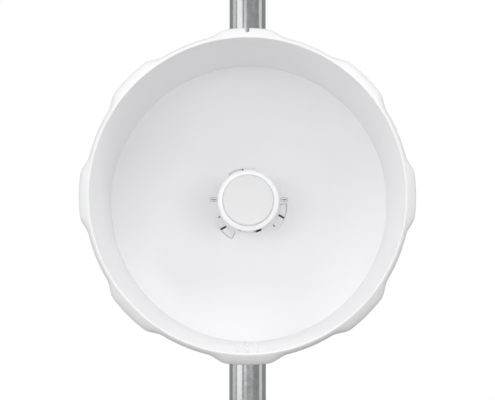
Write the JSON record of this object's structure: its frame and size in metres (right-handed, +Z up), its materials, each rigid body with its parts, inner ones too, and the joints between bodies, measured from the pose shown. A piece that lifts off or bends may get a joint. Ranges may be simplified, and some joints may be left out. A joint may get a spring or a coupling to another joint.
{
  "type": "point-to-point dish antenna on a short mast",
  "caption": "Shrouded parabolic dish antenna with an axial feed, rear radio housing, tilt bracket and pole clamp, on a short steel mast with a bolted foot plate.",
  "frame": {"origin": "centre of the underside of the mast's foot plate, on the mast's axis", "axes": "+Z up along the mast, -Y the way the dish looks, +X to the right of someone who faces the dish"},
  "size_m": [0.4586, 0.51, 0.9263],
  "materials": {
    "white_shell": "satin moulded white, UV-stable",
    "white_feed": "satin moulded white",
    "white_housing": "fine textured moulded white",
    "black_plastic": "fine textured black",
    "smoked_window": "polished translucent grey",
    "bracket_steel": "zinc plated pressed steel",
    "cast_aluminium": "as cast, shot blasted",
    "fastener_steel": "bright stainless",
    "galvanised_steel": "hot-dip galvanised, dull spangle"
  },
  "bodies": {
    "root": {"reflector_dish": "white_shell", "isolator_shroud": "white_shell", "shroud_clip_1": "white_shell", "shroud_clip_2": "white_shell", "shroud_clip_3": "white_shell", "shroud_clip_4": "white_shell", "shroud_clip_5": "white_shell", "shroud_clip_6": "white_shell", "shroud_clip_7": "white_shell", "shroud_clip_8": "white_shell", "feed_front_disc": "white_feed", "feed_flange_ring": "white_feed", "feed_body": "white_feed", "bayonet_lug_1": "white_feed", "bayonet_lug_2": "white_feed", "bayonet_lug_3": "white_feed", "hub_ring": "white_housing", "rear_housing": "white_housing", "port_cover": "white_housing", "cable_gland": "black_plastic", "led_window": "smoked_window", "ground_screw": "fastener_steel", "tilt_bracket_back": "bracket_steel", "tilt_arm_left": "bracket_steel", "tilt_arm_right": "bracket_steel", "tilt_pivot_bolt_left": "fastener_steel", "tilt_pivot_bolt_right": "fastener_steel", "tilt_lock_bolt_left": "fastener_steel", "tilt_lock_bolt_right": "fastener_steel", "pole_block": "cast_aluminium", "clamp_jaw_upper": "cast_aluminium", "clamp_jaw_lower": "cast_aluminium", "clamp_bolt_upper_left": "fastener_steel", "clamp_bolt_upper_right": "fastener_steel", "clamp_bolt_lower_left": "fastener_steel", "clamp_bolt_lower_right": "fastener_steel", "mast_pole": "galvanised_steel", "mast_cap": "black_plastic", "base_plate": "galvanised_steel", "base_gusset_1": "galvanised_steel", "base_gusset_2": "galvanised_steel", "base_gusset_3": "galvanised_steel", "base_gusset_4": "galvanised_steel"}
  },
  "joints": []
}
